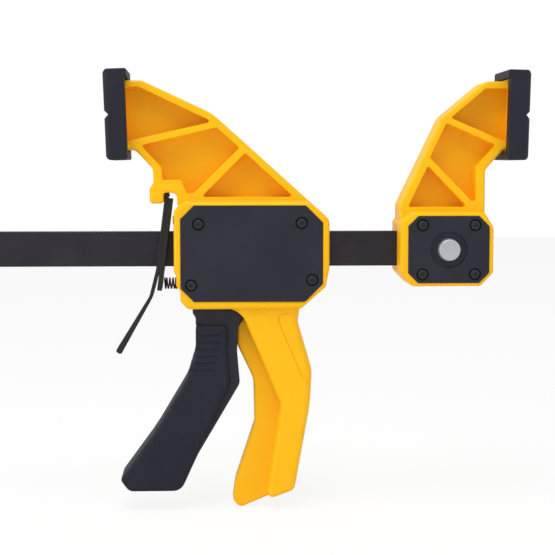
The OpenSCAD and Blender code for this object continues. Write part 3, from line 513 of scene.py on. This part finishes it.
def turn(work, face, inward, rings, sides=48):
    """Adds a turned solid along Y. face is the middle of its outer end and inward is +1 or -1.
    Each ring is (radius, depth behind the face), and a third entry makes it a hexagon."""
    loops = []
    for radius, depth, *six in rings:
        angles = [2 * math.pi * i / sides for i in range(sides)]
        reach = [radius * hexagon_reach(a) if six else radius for a in angles]
        loops.append([work.verts.new(face + Vector((r * math.cos(a), inward * depth,
                                                    r * math.sin(a))))
                      for a, r in zip(angles, reach)])
    for near, far in zip(loops, loops[1:]):
        for i in range(sides):
            work.faces.new((near[i], near[i - 1], far[i - 1], far[i]))
    work.faces.new(loops[0])
    work.faces.new(loops[-1])


def rounded_edge(radius, size):
    """Rings of an outer edge rounded off, from the face to the side."""
    steps = 5
    angles = [math.pi / 2 * i / steps for i in range(steps + 1)]
    return [(radius - size + size * math.sin(a), size - size * math.cos(a)) for a in angles]


def turned_piece(node, work, material):
    """Closes a mesh in the making and lets it stand for a node."""
    bmesh.ops.recalc_face_normals(work, faces=work.faces)
    mesh = bpy.data.meshes.new(node + "_turned")
    work.to_mesh(mesh)
    work.free()
    mesh.shade_smooth()
    mesh.set_sharp_from_angle(angle=math.radians(35.0))
    piece = bpy.data.objects.new(node + "_turned", mesh)
    scene.collection.objects.link(piece)
    return carry(piece, node, material)


def islands(node):
    """The box, as its low and high corner, of each separate solid in a node."""
    work = bmesh.new()
    work.from_mesh(frame["nodes"][node].data)
    bmesh.ops.remove_doubles(work, verts=work.verts, dist=weld_distance)
    seen = set()
    boxes = []
    for start in work.verts:
        if start in seen:
            continue
        seen.add(start)
        island = [start]
        for vertex in island:
            fresh = [e.other_vert(vertex) for e in vertex.link_edges]
            fresh = [v for v in fresh if v not in seen]
            seen.update(fresh)
            island += fresh
        boxes.append([Vector([pick(v.co[k] for v in island) for k in range(3)])
                      for pick in (min, max)])
    work.free()
    return boxes


screw_black = new_finish(
    "screw_black", rolled_group,
    {"Colour": (0.010, 0.010, 0.013, 1.0), "Streak Colour": (0.014, 0.014, 0.018, 1.0),
     "Lengthways": (900.0, 900.0, 900.0), "Low Roughness": 0.30, "High Roughness": 0.42},
    relief=0.00001, IOR=1.5, Specular_IOR_Level=0.4)
head_radius = 0.0027
head_height = 0.0015
head_rounding = 0.0007
shank_radius = 0.0015
shank_chamfer = 0.0004
socket_radius = 0.00135
socket_depth = 0.0016
socket_chamfer = 0.0001
drill_point = 0.0002
for screws in ("body_cover_screws_front", "body_cover_screws_back", "fixed_jaw_screws_front",
               "fixed_jaw_screws_back"):
    made = bmesh.new()
    for low, high in islands(screws):
        middle = (low + high) / 2
        inward = 1 if middle.y < 0 else -1
        length = high.y - low.y
        outer_face = Vector((middle.x, low.y if inward > 0 else high.y, middle.z))
        turn(made, outer_face, inward,
             [(socket_radius / 2, socket_depth + drill_point), (socket_radius, socket_depth, True),
              (socket_radius, socket_chamfer, True), (socket_radius + socket_chamfer, 0.0, True)]
             + rounded_edge(head_radius, head_rounding)
             + [(head_radius, head_height), (shank_radius, head_height),
                (shank_radius, length - shank_chamfer), (shank_radius - shank_chamfer, length)])
    turned_piece(screws, made, screw_black)


# Lock button. A turned aluminium button in the dished cover; behind it a steel yoke carries
# the locking tooth round the bar, against a coil spring.
turned_metal = new_finish(
    "turned_metal", rolled_group,
    {"Colour": (0.42, 0.43, 0.45, 1.0), "Streak Colour": (0.46, 0.47, 0.49, 1.0),
     "Lengthways": (700.0, 700.0, 700.0), "Low Roughness": 0.35, "High Roughness": 0.5},
    relief=0.00001, Metallic=0.6)
button_low, button_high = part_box("lock_button")
button_middle = (button_low + button_high) / 2
button_size = button_high - button_low
button_radius = 0.0061
button_rounding = 0.0007
# The shallow dish in its face, from the middle outwards
button_dish = [(0.0008, 0.00035), (0.0025, 0.00028), (0.0040, 0.00012), (0.0050, 0.00002)]
flange_radius = button_size.x / 2
flange_front = 0.0055
flange_thickness = 0.00155
flange_back = flange_front + flange_thickness
flange_overhang = 0.003
stem_radius = flange_radius - flange_overhang
made = bmesh.new()
turn(made, Vector((button_middle.x, button_low.y, button_middle.z)), 1,
     button_dish
     + rounded_edge(button_radius, button_rounding)
     + [(button_radius, flange_front), (flange_radius, flange_front), (flange_radius, flange_back),
        (stem_radius, flange_back), (stem_radius, button_size.y)], sides=96)
turned_piece("lock_button", made, turned_metal)
soft_edged("lock_yoke", ground_steel, radius=0.0003)

spring_steel = new_finish(
    "spring_steel", rolled_group,
    {"Colour": (0.36, 0.36, 0.38, 1.0), "Streak Colour": (0.44, 0.44, 0.46, 1.0),
     "Lengthways": (600.0, 600.0, 600.0), "Low Roughness": 0.25, "High Roughness": 0.4},
    relief=0.00001, Metallic=1.0)


def wind_spring(node, axis, mean_radius, wire, turns, material):
    """A round-wire coil in place of a spring's solid, its length along the given axis (0, 1 or 2),
    with a closed turn at each end."""
    low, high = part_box(node)
    middle = (low + high) / 2
    side, up = [(1, 2), (2, 0), (0, 1)][axis]
    per_turn = 28
    round_wire = 10
    length = high[axis] - low[axis]
    closed_stack = 3 * wire
    open_pitch = (length - closed_stack) / (turns - 2)
    along = low[axis] + wire / 2
    made = bmesh.new()
    rings = []
    for i in range(turns * per_turn + 1):
        angle = 2 * math.pi * i / per_turn
        ring = []
        for k in range(round_wire):
            tilt = 2 * math.pi * k / round_wire
            out = mean_radius + wire / 2 * math.cos(tilt)
            point = Vector(middle)
            point[axis] = along + wire / 2 * math.sin(tilt)
            point[side] += out * math.cos(angle)
            point[up] += out * math.sin(angle)
            ring.append(made.verts.new(point))
        rings.append(ring)
        closed = i < per_turn or i >= (turns - 1) * per_turn
        along += (wire if closed else open_pitch) / per_turn
    for near, far in zip(rings, rings[1:]):
        for k in range(round_wire):
            made.faces.new((near[k], near[k - 1], far[k - 1], far[k]))
    made.faces.new(rings[0])
    made.faces.new(rings[-1])
    coil = turned_piece(node, made, material)
    direction = Vector((0, 0, 0))
    direction[axis] = 1
    anchor = Vector(middle)
    anchor[axis] = high[axis]
    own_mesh(coil)


wind_spring("lock_spring", axis=1, mean_radius=0.0042, wire=0.0008, turns=4,
            material=spring_steel)

# Trigger. A channel moulding in black nylon, hung on a steel pin above the bar, with a skin
# of ribbed rubber moulded over its front.
lever_nylon = new_finish(
    "lever_nylon", skin_group,
    {"Colour": (0.019, 0.020, 0.027, 1.0), "Flow Colour": (0.022, 0.023, 0.031, 1.0),
     "Grain per Metre": 3000.0, "Low Roughness": 0.45, "High Roughness": 0.55},
    relief=0.00002, IOR=1.5, Specular_IOR_Level=0.2)
grip_rubber = new_finish(
    "grip_rubber", skin_group,
    {"Colour": (0.016, 0.017, 0.026, 1.0), "Flow Colour": (0.019, 0.020, 0.030, 1.0),
     "Grain per Metre": 2600.0, "Low Roughness": 0.65, "High Roughness": 0.78},
    relief=0.00003, IOR=1.5, Specular_IOR_Level=0.16)
soft_edged("trigger_lever", lever_nylon, radius=0.0003)
soft_edged("trigger_grip", grip_rubber, radius=0.0)
soft_edged("trigger_pivot_pin", ground_steel, radius=0.0)

# Release lever and brake plate. The lever is black sheet steel whose top end is rolled round
# into the hook of the housing; the brake plate hangs behind it and jams on the bar, pushed
# out by a short coil spring.
black_sheet = new_finish(
    "black_sheet", rolled_group,
    {"Colour": (0.010, 0.009, 0.010, 1.0), "Streak Colour": (0.015, 0.014, 0.015, 1.0),
     "Lengthways": (700.0, 700.0, 60.0), "Low Roughness": 0.35, "High Roughness": 0.5},
    relief=0.00001, IOR=1.5, Specular_IOR_Level=0.3)
for sheet in ("release_lever", "brake_plate"):
    soft_edged(sheet, black_sheet, radius=0.0002)
wind_spring("brake_spring", axis=0, mean_radius=0.0030, wire=0.0009, turns=5,
            material=black_sheet)

# Drive inside the housing. Steel plates grip the bar when the trigger pushes their lower
# ends; a long coil spring round the bar returns them, from a plastic seat.
for plate in ("drive_plate_1", "drive_plate_2", "drive_plate_3"):
    soft_edged(plate, ground_steel, radius=0.0002)
guide_acetal = new_finish(
    "guide_acetal", skin_group,
    {"Colour": (0.036, 0.036, 0.040, 1.0), "Flow Colour": (0.042, 0.042, 0.047, 1.0),
     "Grain per Metre": 2000.0, "Low Roughness": 0.35, "High Roughness": 0.45},
    relief=0.00001, IOR=1.48, Specular_IOR_Level=0.4)
for guide in ("bar_guide_front", "bar_guide_rear", "drive_spring_seat"):
    soft_edged(guide, guide_acetal, radius=0.0002)
wind_spring("drive_spring", axis=0, mean_radius=0.012070, wire=0.0014, turns=7,
            material=spring_steel)
